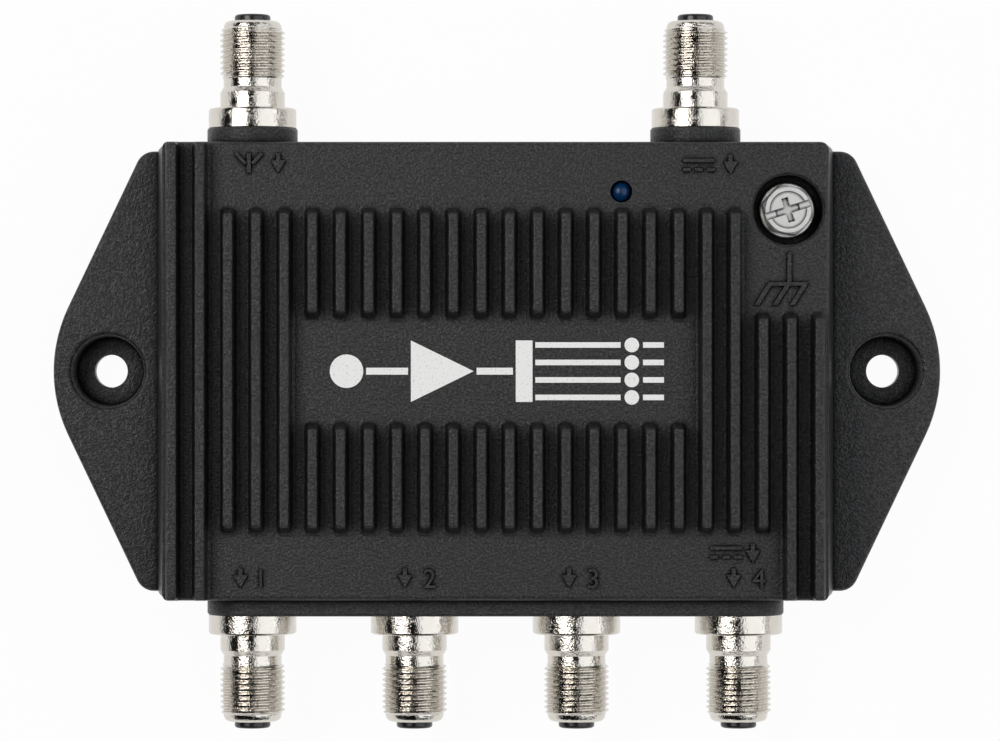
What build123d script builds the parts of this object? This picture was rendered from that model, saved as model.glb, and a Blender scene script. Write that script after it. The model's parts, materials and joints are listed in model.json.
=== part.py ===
from build123d import *
import os
from math import cos, pi, radians, sin, tan

# A four-way television signal amplifier: a finned die-cast box with two mounting ears, six threaded
# coaxial sockets, a status lamp and a ground screw, and the circuit board that it holds.
# Millimetres. X runs along the box, Y from the outputs to the aerial input, Z away from the wall.
# The origin is midway between the two mounting holes, on the plane that rests on the wall.

# How far a cut runs past the surface that it opens
CUT_OVERRUN = 1.0

# Ears
EAR_SPAN = 128.9
EAR_HEIGHT = 63.9
EAR_THICKNESS = 8.5
EAR_SLOPE_DEG = 25.5
EAR_END_RADIUS = 21.6
EAR_CORNER_RADIUS = 2.7
EAR_EDGE_RADIUS = 0.7
EAR_SKIN = 2.2
EAR_WALL = 2.2
EAR_WEB = 1.6

# Mounting cups in the ears
MOUNT_SPACING = 113.1
MOUNT_HOLE_DIAMETER = 4.8
CUP_FLOOR_DIAMETER = 9.7
CUP_MOUTH_DIAMETER = 10.6
CUP_RIM_RADIUS = 0.6
CUP_FLOOR_THICKNESS = 2.4
CUP_WALL = 1.7

# Box
BOX_OFFSET = -0.2
BOX_WIDTH = 98.1
BOX_LENGTH = 65.7
BOX_DEPTH = 18.0
BOX_DRAFT_DEG = 8.0
BOX_CORNER_RADIUS = 1.3
BOX_EDGE_RADIUS = 0.7
BOX_WALL = 2.4
FACE_THICKNESS = 2.5

# Cooling ribs on the face, counted from the left
RIB_COUNT = 24
RIB_PITCH = 4.018
RIB_HEIGHT = 2.8
RIB_TOP_WIDTH = 1.4
RIB_FLANK_RUN = 0.3
RIB_END_RUN = 0.9
RIB_BOX_END_RUN = 0.2
RIB_ROOT_RADIUS = 0.45
RIB_EDGE_RADIUS = 0.3
RIB_CORNER_SHARE = 0.3
RIB_FIELD_TOP = 23.4
RIB_FIELD_BOTTOM = -23.2
PANEL_TOP = 7.5
PANEL_BOTTOM = -7.3
GROUND_PANEL_BOTTOM = 8.4
LEFT_EDGE_RIBS = (0, 1)
LONG_RIBS = (2, 3, 4, 19, 20)
SHORT_RIBS = tuple(range(5, 19))
GROUND_SIDE_RIB = 21
RIGHT_EDGE_RIBS = (22, 23)
ROUNDING_STEPS = 3

# Sockets: places, then sizes along the axis from the boss face outwards
PORT_AXIS_HEIGHT = 9.0
PORT_SPACING = 23.5
OUTPUT_COUNT = 4
POWER_PORT_X = 29.0
BOSS_DIAMETER = 13.1
BOSS_LENGTH = 2.4
BOSS_EDGE_RADIUS = 0.4
SOCKET_FLANGE_DIAMETER = 12.7
SOCKET_FLANGE_LENGTH = 2.8
SOCKET_FLANGE_EDGE = 0.3
SOCKET_BODY_DIAMETER = 9.35
SOCKET_BODY_LENGTH = 2.3
SOCKET_BODY_TAPER = 0.8
SOCKET_RELIEF_DIAMETER = 8.4
SOCKET_RELIEF_LENGTH = 1.2
SOCKET_SHANK_DIAMETER = 9.0
THREAD_DIAMETER = 9.42
THREAD_PITCH = 0.79375
THREAD_DEPTH = 0.487
THREAD_LENGTH = 7.4
THREAD_CREST_SHARE = 0.4
THREAD_ROOT_SHARE = 0.12
THREAD_END_SHARE = 0.6
SOCKET_TIP_DIAMETER = 8.35
SOCKET_TIP_LENGTH = 1.0
SOCKET_TIP_RADIUS = 0.85
SOCKET_REAR_BORE_DIAMETER = 7.0
SOCKET_STEP_INSET = 0.6
PRESS_CLEARANCE = 0.02

# Insulator and centre contact of a socket
INSULATOR_NOSE_DIAMETER = 5.2
INSULATOR_STANDOUT = 0.95
INSULATOR_EDGE_RADIUS = 0.4
GUIDE_HOLE_DIAMETER = 1.3
GUIDE_HOLE_LENGTH = 3.0
GUIDE_HOLE_LEAD = 0.5
CONTACT_DIAMETER = 2.0
CONTACT_BORE_DIAMETER = 0.7
CONTACT_BORE_LENGTH = 9.0
CONTACT_SLOT_WIDTH = 0.3
CONTACT_SLOT_LENGTH = 6.0
CONTACT_CLEARANCE = 0.05
TAIL_DIAMETER = 0.8
TAIL_REACH = 5.0
TAIL_GAP = 0.08

# Circuit board
BOARD_THICKNESS = 1.6
BOARD_CLEARANCE = 0.4
BOARD_HOLE_CLEARANCE = 0.2
BOARD_POST_DIAMETER = 6.0
BOARD_POST_X = 38.0
BOARD_POST_Y = 9.5

# Back cover
COVER_THICKNESS = 1.5
COVER_SETBACK = 0.3
COVER_LEDGE = 1.2
COVER_CLEARANCE = 0.15
COVER_CORNER_RADIUS = 2.0
COVER_PANEL_DEPTH = 0.5
COVER_PANEL_MARGIN = 12.0
COVER_POST_DIAMETER = 6.5
COVER_POST_INSET = 3.1

# Cover and board screws
SCREW_DIAMETER = 2.5
SCREW_LENGTH = 6.0
SCREW_HEAD_DIAMETER = 4.6
COUNTERSINK_LENGTH = 1.2
PAN_HEAD_LENGTH = 1.7
PAN_HEAD_EDGE = 0.6
CROSS_WIDTH = 0.6
CROSS_SPAN = 2.6
CROSS_DEPTH = 0.8
SCREW_CLEARANCE = 0.05
SCREW_TIP_GAP = 1.0

# Ground screw and its washer
GROUND_X = 41.7
GROUND_Y = 23.1
GROUND_RECESS_DIAMETER = 10.0
GROUND_RECESS_DEPTH = 4.0
GROUND_RECESS_EDGE = 0.35
GROUND_RECESS_FLOOR = 2.0
GROUND_RECESS_WALL = 2.0
GROUND_WASHER_DIAMETER = 8.0
GROUND_WASHER_THICKNESS = 0.9
GROUND_WASHER_EDGE = 0.25
GROUND_HEX_WIDTH = 6.5
GROUND_HEX_LENGTH = 3.0
GROUND_HEX_TURN_DEG = 47.5
GROUND_SLOT_TURN_DEG = 17.5
GROUND_DISH_DIAMETER = 5.4
GROUND_DISH_DEPTH = 0.35
GROUND_SLOT_WIDTH = 1.1
GROUND_SLOT_DEPTH = 1.2
GROUND_CROSS_SPAN = 3.6
GROUND_CROSS_WIDTH = 0.95
GROUND_CROSS_DEPTH = 1.9
GROUND_SHANK_DIAMETER = 4.0
GROUND_SHANK_LENGTH = 7.0
GROUND_THREAD_PITCH = 0.7
GROUND_THREAD_DEPTH = 0.43
GROUND_BOSS_WALL = 2.1
GROUND_HOLE_CLEARANCE = 0.06

# Status lamp
LAMP_X = 17.8
LAMP_Y = 25.7
LAMP_DIAMETER = 3.0
LAMP_COLLAR_DIAMETER = 3.6
LAMP_COLLAR_HEIGHT = 0.9
LAMP_RECESS = 0.15
LAMP_STANDOFF = 1.3
LAMP_HOLE_CLEARANCE = 0.08
LAMP_LEAD_WIDTH = 0.5
LAMP_LEAD_SPACING = 2.54
LAMP_LEAD_STANDOUT = 1.0

# Parts on the board
CHIP_X = 0.0
CHIP_Y = 7.0
CHIP_LENGTH = 4.9
CHIP_WIDTH = 3.9
CHIP_HEIGHT = 1.5
CHIP_LEADS_A_SIDE = 4
CHIP_LEAD_PITCH = 1.27
CHIP_LEAD_WIDTH = 0.4
CHIP_LEAD_REACH = 1.0
CHIP_LEAD_THICKNESS = 0.3
PAD_LENGTH = 24.0
PAD_WIDTH = 18.0
PAD_THICKNESS = 1.0
REGULATOR_X = 27.0
REGULATOR_Y = 17.0
REGULATOR_LENGTH = 6.5
REGULATOR_WIDTH = 3.5
REGULATOR_HEIGHT = 1.6
REGULATOR_TAB_WIDTH = 3.0
REGULATOR_LEADS = 3
REGULATOR_LEAD_PITCH = 2.3
REGULATOR_LEAD_WIDTH = 0.7
REGULATOR_LEAD_REACH = 1.7
REGULATOR_LEAD_THICKNESS = 0.3
CHOKE_X = 22.0
CHOKE_Y = 4.0
CHOKE_FLANGE_DIAMETER = 7.0
CHOKE_CORE_DIAMETER = 3.6
CHOKE_WINDING_DIAMETER = 6.2
CHOKE_FLANGE_HEIGHT = 1.1
CHOKE_HEIGHT = 4.8
WINDING_CLEARANCE = 0.05
CAPACITOR_X = 31.5
CAPACITOR_Y = 7.0
CAPACITOR_DIAMETER = 6.3
CAPACITOR_HEIGHT = 5.2
CAPACITOR_BASE_WIDTH = 6.6
CAPACITOR_BASE_HEIGHT = 0.8
CAPACITOR_EDGE_RADIUS = 0.4
DIODE_X = 24.0
DIODE_Y = 22.5
DIODE_LENGTH = 4.4
DIODE_WIDTH = 2.6
DIODE_HEIGHT = 2.1
COIL_X = -22.0
COIL_Y = 19.0
COIL_COUNT = 3
COIL_SPACING = 5.5
COIL_TURNS = 5
COIL_DIAMETER = 3.2
COIL_WIRE_DIAMETER = 0.5
COIL_PITCH = 0.85
SPLITTER_PLACES = ((0.0, -6.0), (-23.5, -15.0), (23.5, -15.0))
CORE_SPACING = 5.0
CORE_LENGTH = 3.6
CORE_WIDTH = 4.2
CORE_HEIGHT = 2.4
CORE_HOLE_DIAMETER = 1.1
CORE_HOLE_SPACING = 1.9
LOOP_WIRE_DIAMETER = 0.4
LOOP_OVERHANG = 0.9
SMALL_CAPACITOR_SIZES = (2.0, 1.25, 0.9)
SMALL_RESISTOR_SIZES = (2.0, 1.25, 0.5)
SMALL_PART_SPACING = 3.2
SMALL_ROW_LENGTH = 5
SMALL_CAPACITOR_ROWS = ((-14.0, 2.0), (-14.0, 12.5), (2.5, -13.5), (-34.0, -3.0))
SMALL_RESISTOR_ROWS = ((-30.0, 3.0), (-6.0, -20.5), (6.0, 14.5))

# Worked-out levels, from the wall outwards
face_inner_z = BOX_DEPTH - FACE_THICKNESS
board_low_z = PORT_AXIS_HEIGHT + TAIL_DIAMETER / 2 + TAIL_GAP
board_high_z = board_low_z + BOARD_THICKNESS
cover_inner_z = COVER_SETBACK + COVER_THICKNESS
recess_floor_z = BOX_DEPTH - GROUND_RECESS_DEPTH

# Worked-out places
boss_face_y = BOX_LENGTH / 2 + BOSS_LENGTH
cavity_half_length = BOX_LENGTH / 2 - BOX_WALL
output_xs = [BOX_OFFSET + (i - (OUTPUT_COUNT - 1) / 2) * PORT_SPACING for i in range(OUTPUT_COUNT)]
aerial_x = output_xs[0]
power_x = BOX_OFFSET + POWER_PORT_X

# Socket lengths from the boss face
shank_length = BOSS_LENGTH + BOX_WALL
body_end = SOCKET_FLANGE_LENGTH + SOCKET_BODY_LENGTH
relief_start = body_end + SOCKET_BODY_TAPER
thread_start = relief_start + SOCKET_RELIEF_LENGTH
thread_end = thread_start + THREAD_LENGTH
metal_end = thread_end + SOCKET_TIP_LENGTH
insulator_end = metal_end + INSULATOR_STANDOUT
step_place = body_end - SOCKET_STEP_INSET
contact_end = insulator_end - GUIDE_HOLE_LENGTH


def wall_half_width(z):
    """Half the box's outer width at a level: upright below the ears' top, drafted above it."""
    return BOX_WIDTH / 2 - max(z - EAR_THICKNESS, 0) * tan(radians(BOX_DRAFT_DEG))


def upright_edges(solid):
    """The edges that run mostly away from the wall."""
    return [edge for edge in solid.edges() if abs((edge % 0).Z) > cos(pi / 4)]


def outer_rim(solid):
    """The widest circle at the top end of a turned solid."""
    top_face = solid.faces().sort_by(Axis.Z)[-1]
    return top_face.edges().sort_by(SortBy.RADIUS)[-1]


def rod(radius, length, x=0, y=0, z=0):
    """A cylinder along Z whose low end is at the place given."""
    return Pos(x, y, z) * Cylinder(radius, length, align=(Align.CENTER, Align.CENTER, Align.MIN))


def taper(low_radius, high_radius, length):
    """A cone frustum along Z that stands on Z zero."""
    return Cone(low_radius, high_radius, length, align=(Align.CENTER, Align.CENTER, Align.MIN))


def block(length, width, height, x=0, y=0, z=0):
    """A box whose low face is centred on the place given."""
    return Pos(x, y, z) * Box(length, width, height, align=(Align.CENTER, Align.CENTER, Align.MIN))


def turned(points):
    """A solid of revolution about Z from points given as radius and height."""
    face = Plane.XZ * Polygon(*points, align=None)
    return revolve(face, Axis.Z)


def mirrored_places(x, y):
    """Four places about the box's centre."""
    return [(BOX_OFFSET + side * x, end * y) for side in (-1, 1) for end in (-1, 1)]


# Housing

def ear_outline():
    """The outline of both ears: a hexagon with rounded ends and corners."""
    slope = radians(EAR_SLOPE_DEG)
    apex_x = EAR_SPAN / 2 - EAR_END_RADIUS + EAR_END_RADIUS / cos(slope)
    corner_x = apex_x - EAR_HEIGHT / 2 * tan(slope)
    half_height = EAR_HEIGHT / 2
    hexagon = Polygon(
        (corner_x, -half_height),
        (apex_x, 0),
        (corner_x, half_height),
        (-corner_x, half_height),
        (-apex_x, 0),
        (-corner_x, -half_height),
        align=None,
    )
    ends = [vertex for vertex in hexagon.vertices() if abs(vertex.X) > (apex_x + corner_x) / 2]
    outline = fillet(ends, EAR_END_RADIUS)
    corners = [vertex for vertex in outline.vertices() if abs(vertex.Y) > half_height - EAR_EDGE_RADIUS]
    return fillet(corners, EAR_CORNER_RADIUS)


def box_prism(inset, half_length, low, high):
    """A length of the box's cross-section, set in from its side walls."""
    levels = [low] + [level for level in (EAR_THICKNESS,) if low < level < high] + [high]
    right = [(wall_half_width(level) - inset, level) for level in levels]
    left = [(-x, z) for x, z in reversed(right)]
    section = Plane.XZ * Polygon(*right, *left, align=None)
    return Pos(BOX_OFFSET, 0, 0) * extrude(section, half_length, both=True)


def box_shell():
    """The outside of the box without its ribs, with rounded corners and face edge."""
    box = box_prism(0, BOX_LENGTH / 2, 0, BOX_DEPTH)
    box = fillet(upright_edges(box), BOX_CORNER_RADIUS)
    face = box.faces().sort_by(Axis.Z)[-1]
    return fillet(face.edges(), BOX_EDGE_RADIUS)


def ear_cups():
    """The mounting cups' solid walls, which reach the wall plane."""
    radius = CUP_MOUTH_DIAMETER / 2 + CUP_WALL
    return [rod(radius, EAR_THICKNESS - EAR_SKIN / 2, side * MOUNT_SPACING / 2) for side in (-1, 1)]


def cup_cut(x):
    """The stepped hole of one mounting cup, with a rounded rim."""
    mouth = CUP_MOUTH_DIAMETER / 2
    rim = CUP_RIM_RADIUS
    depth = EAR_THICKNESS - CUP_FLOOR_THICKNESS
    with BuildPart() as cut:
        with BuildSketch(Plane.XZ):
            with BuildLine():
                wall = Line((CUP_FLOOR_DIAMETER / 2, 0), (mouth, depth - rim))
                flare = RadiusArc(wall @ 1, (mouth + rim, depth), rim, short_sagitta=True)
                Polyline(
                    flare @ 1,
                    (mouth + rim, depth + CUT_OVERRUN),
                    (0, depth + CUT_OVERRUN),
                    (0, 0),
                    wall @ 0,
                )
            make_face()
        revolve(axis=Axis.Z)
    hole = rod(MOUNT_HOLE_DIAMETER / 2, CUP_FLOOR_THICKNESS + 2 * CUT_OVERRUN, x, 0, -CUT_OVERRUN)
    return [Pos(x, 0, CUP_FLOOR_THICKNESS) * cut.part, hole]


def ears():
    """Both ears: a skin with a skirt, webs and cups, hollow on the wall side."""
    outline = ear_outline()
    slab = extrude(outline, EAR_THICKNESS)
    slab = fillet(slab.faces().sort_by(Axis.Z)[-1].edges(), EAR_EDGE_RADIUS)
    pocket_depth = EAR_THICKNESS - EAR_SKIN
    pocket = extrude(offset(outline, -EAR_WALL), pocket_depth)
    pocket = pocket - block(BOX_WIDTH, EAR_HEIGHT, EAR_THICKNESS, BOX_OFFSET)
    for side in (-1, 1):
        pocket = pocket - block(EAR_WEB, EAR_HEIGHT, EAR_THICKNESS, side * MOUNT_SPACING / 2)
    for cup in ear_cups():
        pocket = pocket - cup
    return slab - pocket


def rib_profile():
    """Heights and growths of a rib's sections: rounded root, straight flank, rounded top edge."""
    steps = [i / ROUNDING_STEPS * pi / 2 for i in range(ROUNDING_STEPS + 1)]
    root = [(RIB_ROOT_RADIUS * (1 - cos(t)), RIB_ROOT_RADIUS * (1 - sin(t)), 0) for t in steps]
    top = [
        (RIB_HEIGHT - RIB_EDGE_RADIUS * (1 - sin(t)), 0, RIB_EDGE_RADIUS * (1 - cos(t)))
        for t in steps
    ]
    return root + top


def rib(index, low_y, high_y):
    """One rib between two places along Y. Its ends flare only where they stand on the face."""
    centre_x = BOX_OFFSET + (index - (RIB_COUNT - 1) / 2) * RIB_PITCH
    sections = []
    for height, flare, draw_in in rib_profile():
        climbed = height / RIB_HEIGHT
        width = RIB_TOP_WIDTH + 2 * (RIB_FLANK_RUN * (1 - climbed) + flare - draw_in)
        ends = []
        for side, end_y in ((-1, low_y), (1, high_y)):
            drawn = RIB_END_RUN * climbed + draw_in - flare
            if abs(end_y) >= BOX_LENGTH / 2:
                drawn = RIB_BOX_END_RUN * climbed + draw_in
            ends.append(end_y - side * drawn)
        length = ends[1] - ends[0]
        outline = RectangleRounded(width, length, RIB_CORNER_SHARE * width)
        sections.append(Pos(centre_x, (ends[0] + ends[1]) / 2, BOX_DEPTH + height) * outline)
    body = loft(sections, ruled=True)
    foot = extrude(sections[0], -BOX_EDGE_RADIUS)
    return body + foot


def rib_runs():
    """Each rib's number and its stretch along Y."""
    half_box = BOX_LENGTH / 2
    runs = [(i, -half_box, half_box) for i in LEFT_EDGE_RIBS]
    runs += [(i, RIB_FIELD_BOTTOM, RIB_FIELD_TOP) for i in LONG_RIBS]
    runs += [(i, PANEL_TOP, RIB_FIELD_TOP) for i in SHORT_RIBS]
    runs += [(i, RIB_FIELD_BOTTOM, PANEL_BOTTOM) for i in SHORT_RIBS]
    runs += [(GROUND_SIDE_RIB, RIB_FIELD_BOTTOM, GROUND_PANEL_BOTTOM)]
    runs += [(i, -half_box, GROUND_PANEL_BOTTOM) for i in RIGHT_EDGE_RIBS]
    return runs


def boss(x_low, x_high, end):
    """A collar, or one long boss, for sockets whose axes lie between two places along X."""
    width = x_high - x_low + BOSS_DIAMETER
    outline = Circle(BOSS_DIAMETER / 2)
    if x_high > x_low:
        outline = SlotOverall(width, BOSS_DIAMETER)
    root = BOX_LENGTH / 2 - BOX_WALL
    solid = extrude(outline, boss_face_y - root)
    solid = fillet(solid.faces().sort_by(Axis.Z)[-1].edges(), BOSS_EDGE_RADIUS)
    turn = Rot(X=-90) if end > 0 else Rot(X=90)
    return Pos((x_low + x_high) / 2, end * root, PORT_AXIS_HEIGHT) * turn * solid


def inner_posts():
    """Solids that stand on the inside of the face: posts, the pedestal and the ground boss."""
    posts = []
    cover_post_length = face_inner_z - cover_inner_z
    for x, y in cover_screw_places():
        posts.append(rod(COVER_POST_DIAMETER / 2, cover_post_length, x, y, cover_inner_z))
    for x, y in board_screw_places():
        posts.append(rod(BOARD_POST_DIAMETER / 2, face_inner_z - board_high_z, x, y, board_high_z))
    pad_top = board_high_z + PAD_THICKNESS
    posts.append(block(PAD_LENGTH, PAD_WIDTH, face_inner_z - pad_top, CHIP_X, CHIP_Y, pad_top))
    cup_radius = GROUND_RECESS_DIAMETER / 2 + GROUND_RECESS_WALL
    cup_low = recess_floor_z - GROUND_RECESS_FLOOR
    posts.append(rod(cup_radius, face_inner_z - cup_low, GROUND_X, GROUND_Y, cup_low))
    boss_radius = GROUND_SHANK_DIAMETER / 2 + GROUND_BOSS_WALL
    boss_low = recess_floor_z - GROUND_SHANK_LENGTH - GROUND_BOSS_WALL
    posts.append(rod(boss_radius, cup_low - boss_low, GROUND_X, GROUND_Y, boss_low))
    return posts


def cover_screw_places():
    """Where the four cover screws stand."""
    post_x = BOX_WIDTH / 2 - BOX_WALL - COVER_POST_INSET
    post_y = cavity_half_length - COVER_POST_INSET
    return mirrored_places(post_x, post_y)


def board_screw_places():
    """Where the four board screws stand."""
    return mirrored_places(BOARD_POST_X, BOARD_POST_Y)


def ground_cut():
    """The ground screw's recess and its blind hole."""
    recess_radius = GROUND_RECESS_DIAMETER / 2
    recess = rod(recess_radius, GROUND_RECESS_DEPTH + CUT_OVERRUN)
    lip = taper(recess_radius, recess_radius + GROUND_RECESS_EDGE, GROUND_RECESS_EDGE)
    hole_radius = GROUND_SHANK_DIAMETER / 2 + GROUND_HOLE_CLEARANCE
    hole = rod(hole_radius, GROUND_SHANK_LENGTH + CUT_OVERRUN, 0, 0, -GROUND_SHANK_LENGTH)
    lip = Pos(0, 0, GROUND_RECESS_DEPTH - GROUND_RECESS_EDGE) * lip
    place = Pos(GROUND_X, GROUND_Y, recess_floor_z)
    return [place * cut for cut in (recess, lip, hole)]


def cover_outline(growth):
    """The back cover's outline, grown by a clearance."""
    half_width = BOX_WIDTH / 2 - BOX_WALL + COVER_LEDGE - COVER_CLEARANCE + growth
    half_length = cavity_half_length + COVER_LEDGE - COVER_CLEARANCE + growth
    outline = RectangleRounded(2 * half_width, 2 * half_length, COVER_CORNER_RADIUS)
    return Pos(BOX_OFFSET, 0, 0) * outline


def housing():
    """The casting: ears, box, ribs and bosses, hollowed from the back."""
    solid = ears() + box_shell()
    solid = solid + [rib(*run) for run in rib_runs()]
    bosses = [boss(x, x, 1) for x in (aerial_x, power_x)]
    bosses.append(boss(output_xs[0], output_xs[-1], -1))
    solid = solid + bosses
    cavity = box_prism(BOX_WALL, cavity_half_length, -CUT_OVERRUN, face_inner_z)
    for post in inner_posts():
        cavity = cavity - post
    rebate = extrude(cover_outline(COVER_CLEARANCE), cover_inner_z + CUT_OVERRUN)
    cuts = [cavity, Pos(0, 0, -CUT_OVERRUN) * rebate]
    for side in (-1, 1):
        cuts += cup_cut(side * MOUNT_SPACING / 2)
    cuts += ground_cut()
    bore = SOCKET_SHANK_DIAMETER / 2 + PRESS_CLEARANCE
    port_bore = rod(bore, shank_length + 2 * CUT_OVERRUN, 0, 0, -shank_length - CUT_OVERRUN)
    cuts += [place * port_bore for place in port_places().values()]
    lamp_radius = LAMP_DIAMETER / 2 + LAMP_HOLE_CLEARANCE
    lamp_hole_length = FACE_THICKNESS + 2 * CUT_OVERRUN
    cuts.append(rod(lamp_radius, lamp_hole_length, LAMP_X, LAMP_Y, face_inner_z - CUT_OVERRUN))
    screw_radius = SCREW_DIAMETER / 2 + SCREW_CLEARANCE
    for x, y in cover_screw_places():
        cuts.append(rod(screw_radius, SCREW_LENGTH + SCREW_TIP_GAP, x, y, COVER_SETBACK))
    post_hole = face_inner_z - board_high_z + FACE_THICKNESS / 2
    for x, y in board_screw_places():
        cuts.append(rod(screw_radius, post_hole, x, y, board_high_z))
    return solid - cuts


# Sockets

def port_places():
    """Each socket's name and the place of its boss face, with Z pointing outwards."""
    upwards = Rot(X=-90)
    downwards = Rot(X=90)
    places = {
        "aerial_in": Pos(aerial_x, boss_face_y, PORT_AXIS_HEIGHT) * upwards,
        "power_in": Pos(power_x, boss_face_y, PORT_AXIS_HEIGHT) * upwards,
    }
    for number, x in enumerate(output_xs, start=1):
        places[f"output_{number}"] = Pos(x, -boss_face_y, PORT_AXIS_HEIGHT) * downwards
    return places


def thread_outline(crest_radius, depth, pitch, start, end):
    """Outline points of a thread between two heights, as closed ridges with lower end ones."""
    root_radius = crest_radius - depth
    half_crest = pitch * THREAD_CREST_SHARE / 2
    half_root = pitch * THREAD_ROOT_SHARE / 2
    count = int((end - start) / pitch)
    margin = (end - start - count * pitch) / 2
    points = []
    for turn in range(count):
        low = start + margin + turn * pitch
        middle = low + pitch / 2
        is_end = turn in (0, count - 1)
        radius = root_radius + depth * (THREAD_END_SHARE if is_end else 1)
        points += [
            (root_radius, low + half_root),
            (radius, middle - half_crest),
            (radius, middle + half_crest),
            (root_radius, low + pitch - half_root),
        ]
    return points


def socket_body():
    """The nickel-plated body, turned from bar with its thread's ridges."""
    shank = SOCKET_SHANK_DIAMETER / 2
    flange = SOCKET_FLANGE_DIAMETER / 2
    body = SOCKET_BODY_DIAMETER / 2
    relief = SOCKET_RELIEF_DIAMETER / 2
    crest = THREAD_DIAMETER / 2
    tip = SOCKET_TIP_DIAMETER / 2
    rear_bore = SOCKET_REAR_BORE_DIAMETER / 2
    nose_bore = INSULATOR_NOSE_DIAMETER / 2 + PRESS_CLEARANCE
    solid = turned([
        (rear_bore, -shank_length),
        (shank, -shank_length),
        (shank, 0),
        (flange, 0),
        (flange, SOCKET_FLANGE_LENGTH - SOCKET_FLANGE_EDGE),
        (flange - SOCKET_FLANGE_EDGE, SOCKET_FLANGE_LENGTH),
        (body, SOCKET_FLANGE_LENGTH),
        (body, body_end),
        (relief, relief_start),
        (relief, thread_start),
        *thread_outline(crest, THREAD_DEPTH, THREAD_PITCH, thread_start, thread_end),
        (tip, thread_end),
        (tip, metal_end),
        (nose_bore, metal_end),
        (nose_bore, step_place),
        (rear_bore, step_place),
    ])
    return fillet(outer_rim(solid), SOCKET_TIP_RADIUS)


def insulator():
    """The plastic bushing that fills the body and guides the cable's centre wire."""
    rear = SOCKET_REAR_BORE_DIAMETER / 2 - PRESS_CLEARANCE
    nose = INSULATOR_NOSE_DIAMETER / 2
    guide = GUIDE_HOLE_DIAMETER / 2
    pocket = CONTACT_DIAMETER / 2 + CONTACT_CLEARANCE
    solid = turned([
        (pocket, -shank_length),
        (rear, -shank_length),
        (rear, step_place - PRESS_CLEARANCE),
        (nose, step_place - PRESS_CLEARANCE),
        (nose, insulator_end),
        (guide + GUIDE_HOLE_LEAD, insulator_end),
        (guide, insulator_end - GUIDE_HOLE_LEAD),
        (guide, contact_end),
        (pocket, contact_end),
    ])
    return fillet(outer_rim(solid), INSULATOR_EDGE_RADIUS)


def centre_contact():
    """The split spring tube that grips the centre wire, with its tail to the board."""
    outer = CONTACT_DIAMETER / 2
    front = contact_end - CONTACT_CLEARANCE
    length = front + shank_length
    tube = rod(outer, length, 0, 0, -shank_length)
    bore_radius = CONTACT_BORE_DIAMETER / 2
    tube = tube - rod(bore_radius, CONTACT_BORE_LENGTH + CUT_OVERRUN, 0, 0, front - CONTACT_BORE_LENGTH)
    across = CONTACT_DIAMETER + CUT_OVERRUN
    slot_low = front - CONTACT_SLOT_LENGTH
    for size_x, size_y in ((across, CONTACT_SLOT_WIDTH), (CONTACT_SLOT_WIDTH, across)):
        tube = tube - block(size_x, size_y, CONTACT_SLOT_LENGTH + CUT_OVERRUN, 0, 0, slot_low)
    tail = rod(TAIL_DIAMETER / 2, TAIL_REACH, 0, 0, -shank_length - TAIL_REACH)
    return tube + tail


# Fasteners

def cross_recess(span, width, depth, top):
    """A cross-shaped recess cut down from the top of a head."""
    arms = Rectangle(span, width) + Rectangle(width, span)
    return Pos(0, 0, top - depth) * extrude(arms, depth + CUT_OVERRUN)


def cover_screw():
    """A countersunk screw whose head is flush at Z zero and whose shank runs up."""
    head = taper(SCREW_HEAD_DIAMETER / 2, SCREW_DIAMETER / 2, COUNTERSINK_LENGTH)
    solid = head + rod(SCREW_DIAMETER / 2, SCREW_LENGTH)
    recess = Rot(X=180) * cross_recess(CROSS_SPAN, CROSS_WIDTH, CROSS_DEPTH, 0)
    return solid - recess


def board_screw():
    """A pan-head screw whose head hangs below Z zero and whose shank runs up."""
    head = Rot(X=180) * rod(SCREW_HEAD_DIAMETER / 2, PAN_HEAD_LENGTH)
    head = fillet(head.faces().sort_by(Axis.Z)[0].edges(), PAN_HEAD_EDGE)
    recess = Rot(X=180) * cross_recess(CROSS_SPAN, CROSS_WIDTH, CROSS_DEPTH, PAN_HEAD_LENGTH)
    reach = BOARD_THICKNESS + face_inner_z - board_high_z
    return head - recess + rod(SCREW_DIAMETER / 2, reach)


def ground_washer():
    """The washer held on the ground screw, seated on the recess's floor."""
    disc = rod(GROUND_WASHER_DIAMETER / 2, GROUND_WASHER_THICKNESS)
    disc = fillet(disc.faces().sort_by(Axis.Z)[-1].edges(), GROUND_WASHER_EDGE)
    hole = GROUND_SHANK_DIAMETER / 2 + GROUND_HOLE_CLEARANCE
    disc = disc - rod(hole, GROUND_WASHER_THICKNESS + 2 * CUT_OVERRUN, 0, 0, -CUT_OVERRUN)
    return Pos(GROUND_X, GROUND_Y, recess_floor_z) * disc


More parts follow.
